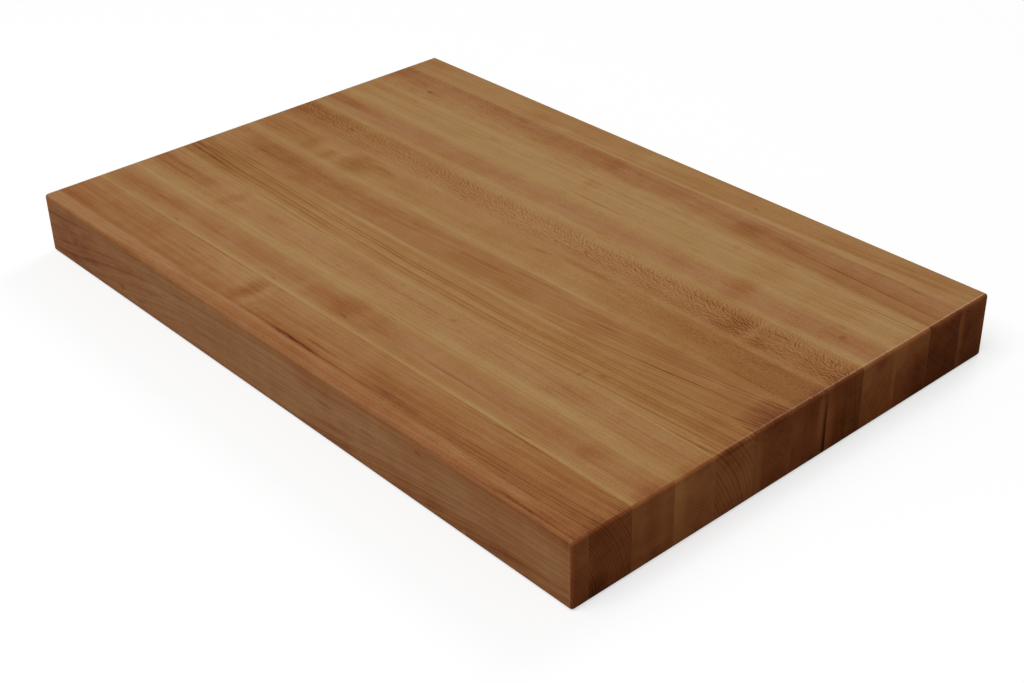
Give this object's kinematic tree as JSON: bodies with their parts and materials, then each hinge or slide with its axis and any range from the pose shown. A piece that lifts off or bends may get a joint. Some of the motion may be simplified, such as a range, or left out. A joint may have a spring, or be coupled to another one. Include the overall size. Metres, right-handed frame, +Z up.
{
  "type": "butcher block cutting board",
  "caption": "Rectangular edge-grain butcher block cutting board: full-length hardwood staves glued side by side, with all edges and corners eased, for cutting and serving food.",
  "frame": {"origin": "centre of the underside, on the surface that the board lies on", "axes": "+X along the staves, +Y across the staves from the front edge to the back edge, +Z up"},
  "size_m": [0.4572, 0.3048, 0.0381],
  "materials": {
    "maple_pale": "satin oil, pale straight grain",
    "maple_honey": "satin oil, honey, mild grain",
    "maple_amber": "satin oil, amber, lined grain",
    "maple_lined": "satin oil, strong growth lines",
    "maple_rosy": "satin oil, rosy brown",
    "maple_figured": "satin oil, ray fleck",
    "glue": "cured wood glue, thin dark line"
  },
  "bodies": {
    "root": {"front_edge_stave": "maple_honey", "stave_02": "maple_amber", "stave_03": "maple_honey", "stave_04": "maple_honey", "stave_05": "maple_lined", "stave_06": "maple_rosy", "stave_07": "maple_honey", "stave_08": "maple_figured", "stave_09": "maple_rosy", "stave_10": "maple_pale", "stave_11": "maple_rosy", "back_edge_stave": "maple_pale", "glue_line_01": "glue", "glue_line_02": "glue", "glue_line_03": "glue", "glue_line_04": "glue", "glue_line_05": "glue", "glue_line_06": "glue", "glue_line_07": "glue", "glue_line_08": "glue", "glue_line_09": "glue", "glue_line_10": "glue", "glue_line_11": "glue"}
  },
  "joints": []
}
